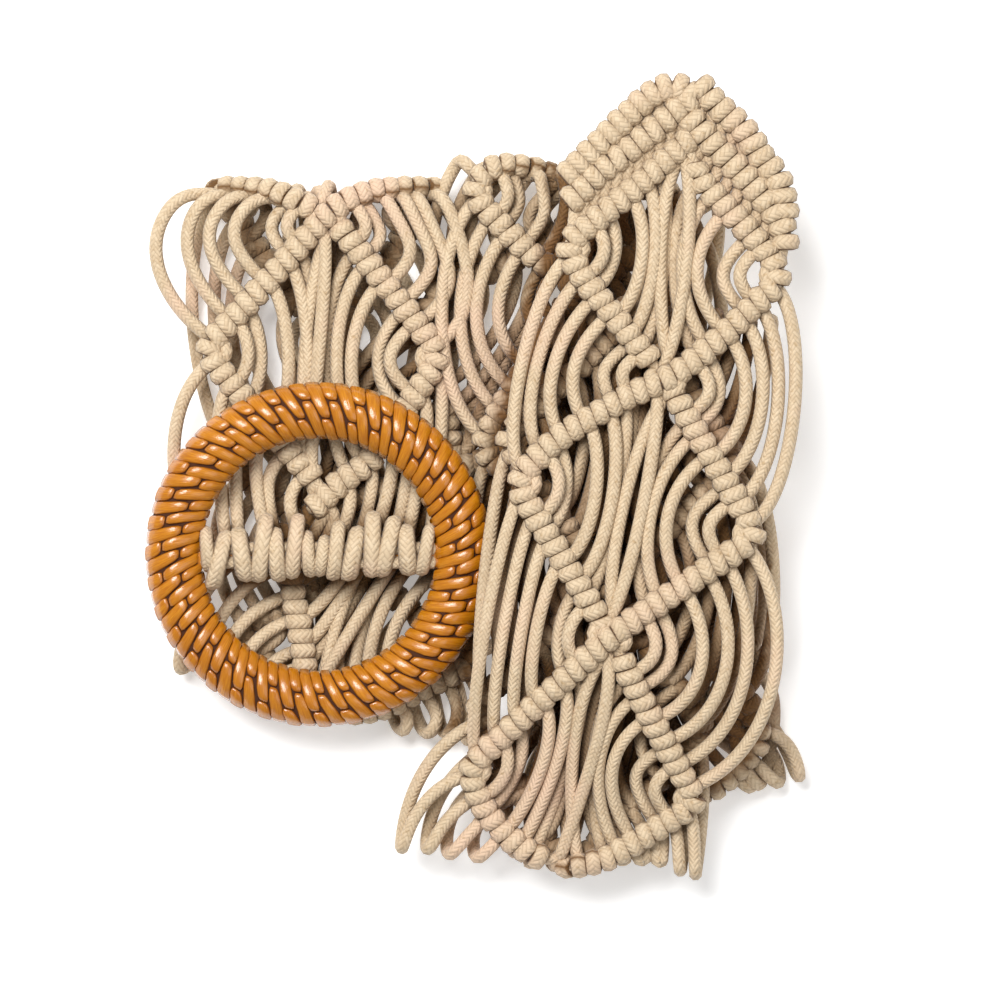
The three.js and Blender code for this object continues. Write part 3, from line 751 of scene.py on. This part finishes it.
# %% Lead the strands from the loops to the first rows, and fill the loops
STRAND_START = -7.0
OUTER_BULGE, OUTER_LEAN = 8.5, -0.9
for side, order in (("left", range(6, -1, -1)), ("right", range(7, 14))):
    row = ROWS[0, side]
    arm = row["line"][: row["corner"] + 1]
    run = walked_along(arm)
    for n, i in enumerate(order):
        at = run[-1] * (n + 0.6) / STRANDS_PER_ROW
        end = spot_on(arm, run, at)
        start = np.array([STRAND_START, LOOPS[i][0] + 0.4 * LOOPS[i][3]])
        arrive = square_to(arm, run, at, start - end)
        outermost = i == 0
        leave = unit(np.array([1.0, OUTER_LEAN if outermost else 0.0]))
        bulge = OUTER_BULGE if outermost else dice.uniform(1.5, 3.5)
        line = bowed(start, end, bulge, leave, arrive)
        add_strand(line, rise(len(line), -0.4 if n % 2 else -1.6))
for y in (-1.6, 1.6):
    along_bar = np.stack([np.linspace(-27.6, 27.6, 20), np.full(20, y), np.full(20, 0.9)], axis=1)
    KNOTS[1].append(tube(on_buckle(along_bar)))
print("strands with the bar's:", sum(len(k) for k in STRANDS.values()))

# %% [markdown]
# ## The ring buckle
# The ring is cast resin in the shape of a plaited rope: columns of bricks, a long and a short one in
# turn, that lean as they go outwards. A pillow is modelled once from a sphere and squared off, and each
# brick is a copy bent over the ring's oval section. The dark line between the bricks is a real gap down
# to a core coloured near black as painted shade.

# %% Model one brick of the plait
clear_selection()
bpy.ops.mesh.primitive_uv_sphere_add(segments=10, ring_count=8, radius=1.0 * MM)
brick = bpy.context.object
bpy.ops.object.mode_set(mode="EDIT")
bpy.ops.mesh.select_all(action="SELECT")
bpy.ops.transform.rotate(value=math.pi / 2, orient_axis="X", center_override=(0, 0, 0))
bpy.ops.object.mode_set(mode="OBJECT")
BRICK_POINTS, BRICK_FACES, _ = take_pattern(brick)
BRICK_POINTS = np.sign(BRICK_POINTS) * np.abs(BRICK_POINTS) ** np.array([0.52, 0.42, 0.62])
print("one brick:", len(BRICK_FACES), "faces")

# %% Bend the bricks over the ring
BAND_HALF, THICK_HALF = 6.2, 3.75
BRICK_HEIGHT, BRICK_BASE, BRICK_GAP = 0.78, 0.05, 0.006
COLUMNS = 70
COLUMN_ANGLE = 2 * math.pi / COLUMNS
LEAN_TURN = math.radians(9.5)
# Where bricks start and end in even and odd columns, as half turns round the section from its outer side.
TOP_BRICKS = ([(-0.2, 0.355), (0.355, 1.2)], [(-0.2, 0.577), (0.577, 1.2)])
UNDER_BRICKS = ([(1.2, 1.55), (1.55, 1.8)], [(1.2, 1.45), (1.45, 1.8)])


def on_ring(angle, share, height):
    """Points on the ring from the angle round it, the half turns round its section and the height off it."""
    around = share * math.pi
    radius = RING_RADIUS + (BAND_HALF + height) * np.cos(around)
    rise_up = (THICK_HALF + height) * np.sin(around)
    return np.stack([radius * np.cos(angle), radius * np.sin(angle), rise_up], axis=-1)


def bend_brick(column, start, end):
    """The brick bent over one column, skewed and fattened a little by chance, with painted shade at its foot.
    """
    x, y, z = BRICK_POINTS.T
    skew, fat = dice.uniform(-0.14, 0.1), dice.uniform(0.9, 1.12)
    share = (start + end) / 2 + y * (end - start - BRICK_GAP) / 2
    lean = LEAN_TURN * (0.5 - (1 - np.cos(np.clip(share, 0, 1) * math.pi)) / 2)
    angle = (column + x * 0.5 * min(fat, 1.04) + skew * y) * COLUMN_ANGLE + lean
    spots = on_ring(angle, share, z * BRICK_HEIGHT * fat + BRICK_BASE)
    seed = np.array([dice.uniform(0, 40), dice.uniform(0, 40)])
    across, length = x * 1.5, y * (end - start) * 8.0
    uv = np.array([(across[i], length[i]) for f in BRICK_FACES for i in f]) + seed
    return on_buckle(spots), BRICK_FACES, uv, 1 - np.clip((z + 0.35) / 1.35, 0, 1)


ring_parts = []
for column in range(COLUMNS):
    for start, end in TOP_BRICKS[column % 2] + UNDER_BRICKS[column % 2]:
        ring_parts.append(bend_brick(column, start, end))
print("bricks:", len(ring_parts))

# %% Add the core that the bricks lie on, near black with painted shade
CORE_STEPS, CORE_SIDES, CORE_DEPTH = 96, 16, -0.1
core_angles = np.linspace(0, 2 * math.pi, CORE_STEPS + 1)[:-1]
core_shares = np.linspace(0, 2, CORE_SIDES + 1)[:-1]
core_spots = np.vstack([on_ring(np.full(CORE_SIDES, a), core_shares, CORE_DEPTH) for a in core_angles])
core_faces = []
for i in range(CORE_STEPS):
    here, there = i * CORE_SIDES, (i + 1) % CORE_STEPS * CORE_SIDES
    for j in range(CORE_SIDES):
        k = (j + 1) % CORE_SIDES
        core_faces.append((here + j, there + j, there + k, here + k))
# The core has full painted shade, so it shows near black in the gaps.
ring_parts.append((on_buckle(core_spots), core_faces, np.zeros((len(core_faces) * 4, 2)), 1.0))
print("core:", len(core_faces), "faces")

# %% Model the bar
clear_selection()
bpy.ops.mesh.primitive_cube_add(size=1)
bar = bpy.context.object
bar.dimensions = (BAR_LENGTH * MM, BAR_WIDTH * MM, BAR_THICKNESS * MM)
bpy.ops.object.transform_apply(location=False, rotation=False, scale=True)
bpy.ops.object.mode_set(mode="EDIT")
bpy.ops.mesh.select_all(action="SELECT")
bpy.ops.mesh.bevel(offset=1.1 * MM, segments=3)
bpy.ops.object.mode_set(mode="OBJECT")
bar_spots, bar_faces, _ = take_pattern(bar)
bar_uv = np.array([(bar_spots[i, 1], bar_spots[i, 0]) for f in bar_faces for i in f])
# The bar gets a little painted shade.
ring_parts.append((on_buckle(bar_spots), bar_faces, bar_uv, 0.1))
print("bar:", len(bar_faces), "faces")

# %% [markdown]
# ## The braid of the cord
# The cord is braided from eight yarns that wind each way, and each goes over two and under two, so the
# braid shows as a herringbone. The yarns could be modelled, but at this size a pattern is enough. The
# pattern coordinates hold millimetres along the cord and turns round it, and the group below draws the
# yarns from them as heights and tones.

# %% Small helpers for node groups
def new_group(name, inputs, outputs):
    """A shader group with its two end nodes. Inputs are (name, kind, value), outputs are (name, kind)."""
    group = bpy.data.node_groups.new(name, "ShaderNodeTree")
    for label, kind, value in inputs:
        socket = group.interface.new_socket(label, in_out="INPUT", socket_type=kind)
        if value is not None:
            socket.default_value = value
    for label, kind in outputs:
        group.interface.new_socket(label, in_out="OUTPUT", socket_type=kind)
    return group, group.nodes.new("NodeGroupInput"), group.nodes.new("NodeGroupOutput")


def feed(tree, socket, value):
    """Links a socket to another node's output, or sets it to a value."""
    if hasattr(value, "is_output"):
        tree.links.new(value, socket)
    else:
        socket.default_value = value


def calc(tree, operation, *values):
    node = tree.nodes.new("ShaderNodeMath")
    node.operation = operation
    for socket, value in zip(node.inputs, values):
        feed(tree, socket, value)
    return node.outputs[0]


def blend(tree, share, a, b, mode="MIX"):
    node = tree.nodes.new("ShaderNodeMix")
    node.data_type = "RGBA"
    node.blend_type = mode
    feed(tree, node.inputs[0], share)
    feed(tree, node.inputs[6], a)
    feed(tree, node.inputs[7], b)
    return node.outputs[2]


def noise(tree, where, scale, detail=2.0, rough=0.5):
    node = tree.nodes.new("ShaderNodeTexNoise")
    for label, value in (("Vector", where), ("Scale", scale), ("Detail", detail), ("Roughness", rough)):
        feed(tree, node.inputs[label], value)
    return node.outputs["Fac"]


# %% The braid group
NUMBER, VECTOR = "NodeSocketFloat", "NodeSocketVector"
braid, braid_in, braid_out = new_group(
    "braid",
    [("Cord", VECTOR, None), ("Yarns", NUMBER, 8.0), ("Pitch", NUMBER, 1.3)],
    [("Height", NUMBER), ("Yarn tone", NUMBER)],
)
split = braid.nodes.new("ShaderNodeSeparateXYZ")
braid.links.new(braid_in.outputs["Cord"], split.inputs[0])
along = calc(braid, "DIVIDE", split.outputs["X"], braid_in.outputs["Pitch"])
around = calc(braid, "MULTIPLY", split.outputs["Y"], braid_in.outputs["Yarns"])
one, two = calc(braid, "ADD", along, around), calc(braid, "SUBTRACT", along, around)
cell_one, cell_two = calc(braid, "FLOOR", one), calc(braid, "FLOOR", two)
column = calc(braid, "FLOOR", calc(braid, "MULTIPLY", calc(braid, "SUBTRACT", cell_one, cell_two), 0.5))
on_top = calc(braid, "FLOORED_MODULO", column, 2.0)


def hump(share):
    return calc(braid, "SINE", calc(braid, "MULTIPLY", calc(braid, "FRACT", share), math.pi))


first_yarn = calc(braid, "MULTIPLY", hump(one), on_top)
second_yarn = calc(braid, "MULTIPLY", hump(two), calc(braid, "SUBTRACT", 1.0, on_top))
braid.links.new(calc(braid, "ADD", first_yarn, second_yarn), braid_out.inputs["Height"])
cells = braid.nodes.new("ShaderNodeCombineXYZ")
braid.links.new(cell_one, cells.inputs[0])
braid.links.new(cell_two, cells.inputs[1])
speckle = braid.nodes.new("ShaderNodeTexWhiteNoise")
braid.links.new(cells.outputs[0], speckle.inputs["Vector"])
braid.links.new(speckle.outputs["Value"], braid_out.inputs["Yarn tone"])
print("braid group nodes:", len(braid.nodes))

# %% [markdown]
# ## Handling marks
# Cord and resin both carry a faint cloudiness from handling, and the cord has fine flecks. The group
# below has a soft noise and a fine one in the piece's own coordinates, as masks to tint with.

# %% The handling group
handling, handling_in, handling_out = new_group(
    "handling",
    [("Place", VECTOR, None), ("Size", NUMBER, 40.0)],
    [("Cloud", NUMBER), ("Fleck", NUMBER)],
)
place, size = handling_in.outputs["Place"], handling_in.outputs["Size"]
cloud = noise(handling, place, size, 3.0)
fleck = noise(handling, place, calc(handling, "MULTIPLY", size, 22.0))
handling.links.new(cloud, handling_out.inputs["Cloud"])
handling.links.new(fleck, handling_out.inputs["Fleck"])

# %% [markdown]
# ## Waxed cotton
# The cotton is a warm beige. The yarns differ a little from each other, some patches are tinged pink and
# the flecks are brown. Shade is painted into the colour: the grooves between the yarns are darker, and
# what lies deep is darkened most. Wax gives a faint sheen, so the roughness is not quite full.

# %% The cotton cord material
def start_material(name):
    material = bpy.data.materials.new(name)
    material.use_nodes = True
    tree = material.node_tree
    return material, tree, tree.nodes["Principled BSDF"]


def use_group(tree, group, **values):
    node = tree.nodes.new("ShaderNodeGroup")
    node.node_tree = group
    for label, value in values.items():
        feed(tree, node.inputs[label.replace("_", " ")], value)
    return node.outputs


def ramp(tree, share, low, high):
    node = tree.nodes.new("ShaderNodeMapRange")
    node.inputs["From Min"].default_value = low
    node.inputs["From Max"].default_value = high
    feed(tree, node.inputs["Value"], share)
    return node.outputs["Result"]


def mesh_inputs(tree, size):
    """What a material reads: its pattern coordinates, the mesh's painted shade, and the handling marks."""
    uv = tree.nodes.new("ShaderNodeUVMap")
    uv.uv_map = "cord_length"
    painted_shade = tree.nodes.new("ShaderNodeAttribute")
    painted_shade.attribute_name = "painted_shade"
    place = tree.nodes.new("ShaderNodeTexCoord").outputs["Object"]
    return uv.outputs[0], painted_shade.outputs["Fac"], use_group(tree, handling, Place=place, Size=size)


def raise_surface(tree, shader, height, depth, strength):
    """Shades the surface as if it had a pattern of heights, depth metres deep."""
    bump = tree.nodes.new("ShaderNodeBump")
    bump.inputs["Distance"].default_value = depth
    bump.inputs["Strength"].default_value = strength
    tree.links.new(height, bump.inputs["Height"])
    tree.links.new(bump.outputs[0], shader.inputs["Normal"])


cotton, tree, shader = start_material("waxed_cotton_braid")
cord_uv, painted_shade, marks = mesh_inputs(tree, 38.0)
yarns = use_group(tree, braid, Cord=cord_uv)
tone = blend(tree, yarns["Yarn tone"], (0.545, 0.41, 0.262, 1), (0.635, 0.50, 0.338, 1))
tone = blend(tree, ramp(tree, marks["Cloud"], 0.52, 0.72), tone, (0.66, 0.47, 0.33, 1))
flecks = calc(tree, "MULTIPLY", ramp(tree, marks["Fleck"], 0.60, 0.75), 0.55)
tone = blend(tree, flecks, tone, (0.36, 0.22, 0.09, 1))
# Painted shade in the grooves between the yarns.
groove_shade = calc(tree, "SUBTRACT", 1.0, ramp(tree, yarns["Height"], 0.0, 0.5))
colour = blend(tree, calc(tree, "MULTIPLY", groove_shade, 0.27), tone, (0.20, 0.115, 0.05, 1))
# Painted shade: the colour is multiplied towards dark brown where the mesh's painted shade is strong.
shade_amount = calc(tree, "POWER", painted_shade, 2.0)
colour = blend(tree, shade_amount, colour, (0.25, 0.15, 0.055, 1), "MULTIPLY")
tree.links.new(colour, shader.inputs["Base Color"])
dullness = calc(tree, "ADD", 0.62, calc(tree, "MULTIPLY", marks["Cloud"], 0.2))
tree.links.new(dullness, shader.inputs["Roughness"])
shader.inputs["Sheen Weight"].default_value = 0.12
shader.inputs["Specular IOR Level"].default_value = 0.35
raise_surface(tree, shader, yarns["Height"], 0.00022, 0.7)

# %% [markdown]
# ## Amber resin
# The casting is glossy amber with fine streaks along each brick. Shade is painted into its colour: darker
# down the sides of the bricks and nearly black in the gaps. The mesh keeps the painted shade of each
# point, so the dark gap follows the shape and not the light.

# %% The resin material
resin, tree, shader = start_material("amber_resin")
brick_uv, painted_shade, marks = mesh_inputs(tree, 70.0)
stretch = tree.nodes.new("ShaderNodeMapping")
stretch.inputs["Scale"].default_value = (2.6, 0.22, 1.0)
tree.links.new(brick_uv, stretch.inputs["Vector"])
streaks = noise(tree, stretch.outputs[0], 1.6, 3.0, 0.6)
amber = blend(tree, ramp(tree, streaks, 0.35, 0.68), (0.42, 0.132, 0.003, 1), (0.60, 0.235, 0.008, 1))
clouds = calc(tree, "MULTIPLY", ramp(tree, marks["Cloud"], 0.45, 0.7), 0.4)
amber = blend(tree, clouds, amber, (0.34, 0.105, 0.003, 1))
# Painted shade: darker amber down the sides of the bricks and near black in the gaps, where the gloss is also
# taken away.
amber = blend(tree, calc(tree, "MULTIPLY", painted_shade, 1.3), amber, (0.25, 0.055, 0.001, 1))
gap_shade = ramp(tree, painted_shade, 0.45, 1.0)
amber = blend(tree, gap_shade, amber, (0.05, 0.012, 0.001, 1))
tree.links.new(amber, shader.inputs["Base Color"])
gloss = calc(tree, "ADD", 0.16, calc(tree, "MULTIPLY", streaks, 0.16))
roughness = calc(tree, "ADD", gloss, calc(tree, "MULTIPLY", gap_shade, 0.7))
tree.links.new(roughness, shader.inputs["Roughness"])
lacquer = calc(tree, "MULTIPLY", calc(tree, "SUBTRACT", 1.0, gap_shade), 0.45)
tree.links.new(lacquer, shader.inputs["Coat Weight"])
shader.inputs["Coat Roughness"].default_value = 0.08
raise_surface(tree, shader, streaks, 0.0002, 0.5)

# %% [markdown]
# ## Painted shade deep in the pile
# Deep between the cords the cotton gets painted shade, a dark warm brown, since the light alone leaves
# it paler than that. Each point of the cotton keeps how deep it lies under the top of the pile, or above
# its underside where that is nearer, and is darkened by it. The two surfaces are read from a coarse grid
# of cells seen from above, and blurred so that no cell shows.

# %% Measure how deep a point lies in the pile
PILE_CELL = 1.6
PILE_MARGIN = 6
SHALLOW, DEEP_SPAN, DEEP_POWER = 0.3, 5.2, 0.45


def blurred(level):
    """The mean of each cell and those up to two cells away."""
    return sum(np.roll(level, (i, j), (0, 1)) for i in range(-2, 3) for j in range(-2, 3)) / 25


def heap(parts):
    """A function that measures, from 0 to 1, how deep points lie between the two sides of the pile."""
    points = np.vstack([p[0] for p in parts])
    heights = points[:, 2]
    corner = points[:, :2].min(axis=0) - PILE_MARGIN * PILE_CELL
    size = np.ceil((points[:, :2].max(axis=0) - corner) / PILE_CELL + PILE_MARGIN).astype(int)
    cells = tuple(((points[:, :2] - corner) / PILE_CELL).astype(int).T)
    top, under = np.zeros(size), np.full(size, heights.max())
    np.maximum.at(top, cells, heights)
    np.minimum.at(under, cells, heights)
    top, under = blurred(top), blurred(np.where(top > 0, under, 0.0))

    def measure(spots):
        i, j = ((spots[:, :2] - corner) / PILE_CELL).astype(int).T
        depth = np.minimum(top[i, j] - spots[:, 2], spots[:, 2] - under[i, j])
        return np.clip((depth - SHALLOW) / DEEP_SPAN, 0, 1) ** DEEP_POWER

    return measure


pile_parts = [part for parts in (*KNOTS.values(), *STRANDS.values(), loop_parts) for part in parts]
in_pile = heap(pile_parts)
print("parts in the pile:", len(pile_parts))

# %% [markdown]
# ## Putting the pieces on the model
# Each stretch of the belt has two pieces, its rows of knots and its loose strands, and both stand for the
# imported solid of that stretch. The loops stand for the solids round the bar, two loops to each, and the
# plaited ring for the smooth one. All of them ride on the one body of the model.


# %% Dress and place the pieces
def finish_piece(obj, material, slot, *nodes):
    """Gives a piece its material, hangs it on the model's body, hides the solids it stands for, and counts
    its faces.
    """
    obj.data.materials.append(material)
    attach(obj, "root")
    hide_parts(*nodes)
    return len(obj.data.polygons)


BANDS = [
    "band_1_buckle_end",
    "band_2_lowest",
    "band_3_diagonal",
    "band_4_under_return",
    "band_5_inner",
    "band_6_inner_return",
    "band_7_front",
]
total = 0
for k, node in enumerate(BANDS, start=1):
    total += finish_piece(build_piece(f"knot_rows_{k}", KNOTS[k], in_pile), cotton, "cotton_cord", node)
    total += finish_piece(build_piece(f"strands_{k}", STRANDS[k], in_pile), cotton, "cotton_cord", node)
for i in range(len(LOOPS) // 2):
    loops = build_piece(f"bar_loops_{i + 1}", loop_parts[2 * i:2 * i + 2], in_pile)
    total += finish_piece(loops, cotton, "cotton_cord", f"larks_head_{i + 1}")
total += finish_piece(build_piece("plaited_ring", ring_parts), resin, "resin", "buckle")
print("faces in all:", total)

# %% [markdown]
# ## Floor, light and camera
# The bundle lies on a plain white floor under a broad soft light, a little stronger from the upper left,
# with only a faint shadow close round it. The camera looks straight down from far away through a long
# lens.

# %% The floor
clear_selection()
bpy.ops.mesh.primitive_plane_add(size=4.0, location=(0, 0, 0))
floor = bpy.context.object
floor.name = "floor"
white, tree, shader = start_material("white_floor")
shader.inputs["Base Color"].default_value = (0.9, 0.9, 0.9, 1)
shader.inputs["Roughness"].default_value = 1.0
shader.inputs["Specular IOR Level"].default_value = 0.0
shader.inputs["Emission Color"].default_value = (1, 1, 1, 1)
shader.inputs["Emission Strength"].default_value = 0.3
floor.data.materials.append(white)


# %% The lights
def soft_light(name, place, size, power):
    light = bpy.data.lights.new(name, "AREA")
    light.shape = "SQUARE"
    light.size = size
    light.energy = power
    lamp = bpy.data.objects.new(name, light)
    lamp.location = place
    lamp.rotation_euler = (Vector((0, 0, 0)) - Vector(place)).to_track_quat("-Z", "Y").to_euler()
    bpy.context.scene.collection.objects.link(lamp)


soft_light("key", (-0.35, 0.5, 1.1), 0.6, 20)
soft_light("fill", (0.7, -0.3, 1.0), 0.9, 4)
world = bpy.data.worlds.new("studio")
bpy.context.scene.world = world
world.use_nodes = True
world.node_tree.nodes["Background"].inputs["Color"].default_value = (1, 1, 1, 1)
world.node_tree.nodes["Background"].inputs["Strength"].default_value = 0.3
bpy.context.scene.view_settings.view_transform = "Standard"

# %% The camera
CAMERA_HEIGHT, SEEN_WIDTH, AIM_HEIGHT = 1.52, 0.2381, 0.022
camera = bpy.data.objects.new("camera", bpy.data.cameras.new("camera"))
camera.location = ((BAR_CENTRE[0] + 43.33) * MM, (BAR_CENTRE[1] + 13.10) * MM, CAMERA_HEIGHT)
camera.data.sensor_width = 36
camera.data.lens = (CAMERA_HEIGHT - AIM_HEIGHT) * 36 / SEEN_WIDTH
camera.data.clip_end = 10
bpy.context.scene.collection.objects.link(camera)
bpy.context.scene.camera = camera
